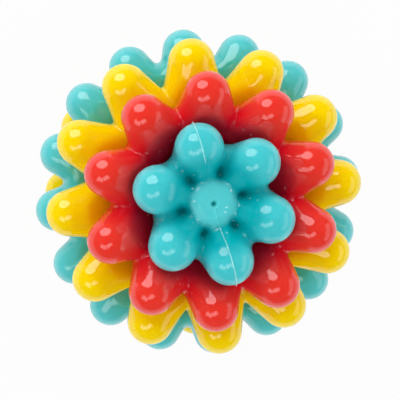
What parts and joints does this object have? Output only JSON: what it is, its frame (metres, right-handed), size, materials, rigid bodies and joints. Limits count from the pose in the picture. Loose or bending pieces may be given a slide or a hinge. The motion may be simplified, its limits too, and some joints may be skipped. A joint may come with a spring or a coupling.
{
  "type": "sensory ball",
  "caption": "Ball of soft round-tipped petals on coloured rings that turn round a hidden axle, with a fixed petal cap at each end.",
  "frame": {"origin": "centre of the ball, on the axle and in the middle of the centre ring", "axes": "+Z along the axle towards the front cap, which the picture shows; +X and +Y are the picture's right and up for a viewer who looks down on the front cap"},
  "size_m": [0.1094, 0.1094, 0.097],
  "materials": {
    "turquoise_vinyl": "glossy soft vinyl, turquoise",
    "red_vinyl": "glossy soft vinyl, red",
    "yellow_vinyl": "glossy soft vinyl, yellow",
    "hub_plastic": "natural white moulded plastic, satin",
    "washer_plastic": "black slippery plastic, matte",
    "axle_plastic": "turned grey plastic, satin",
    "screw_steel": "zinc plated steel"
  },
  "bodies": {
    "spindle": {"axle": "axle_plastic", "front_cap": "turquoise_vinyl", "front_cap_plug": "hub_plastic", "front_plug_screw": "screw_steel", "front_cap_washer": "washer_plastic", "front_red_washer": "washer_plastic", "front_yellow_washer": "washer_plastic", "rear_yellow_washer": "washer_plastic", "rear_red_washer": "washer_plastic", "rear_cap_washer": "washer_plastic", "rear_cap": "turquoise_vinyl", "rear_cap_plug": "hub_plastic", "rear_plug_screw": "screw_steel"},
    "front_red": {"front_red_ring": "red_vinyl", "front_red_hub": "hub_plastic"},
    "front_yellow": {"front_yellow_ring": "yellow_vinyl", "front_yellow_hub": "hub_plastic"},
    "centre": {"centre_ring": "turquoise_vinyl", "centre_hub": "hub_plastic"},
    "rear_yellow": {"rear_yellow_ring": "yellow_vinyl", "rear_yellow_hub": "hub_plastic"},
    "rear_red": {"rear_red_ring": "red_vinyl", "rear_red_hub": "hub_plastic"}
  },
  "joints": [
    {"name": "front_red_spin", "type": "hinge", "parent": "spindle", "child": "front_red", "pos_m": [0, 0, 0], "axis": [0, 0, 1], "continuous": true},
    {"name": "front_yellow_spin", "type": "hinge", "parent": "spindle", "child": "front_yellow", "pos_m": [0, 0, 0], "axis": [0, 0, 1], "continuous": true},
    {"name": "centre_spin", "type": "hinge", "parent": "spindle", "child": "centre", "pos_m": [0, 0, 0], "axis": [0, 0, 1], "continuous": true},
    {"name": "rear_yellow_spin", "type": "hinge", "parent": "spindle", "child": "rear_yellow", "pos_m": [0, 0, 0], "axis": [0, 0, 1], "continuous": true},
    {"name": "rear_red_spin", "type": "hinge", "parent": "spindle", "child": "rear_red", "pos_m": [0, 0, 0], "axis": [0, 0, 1], "continuous": true}
  ]
}
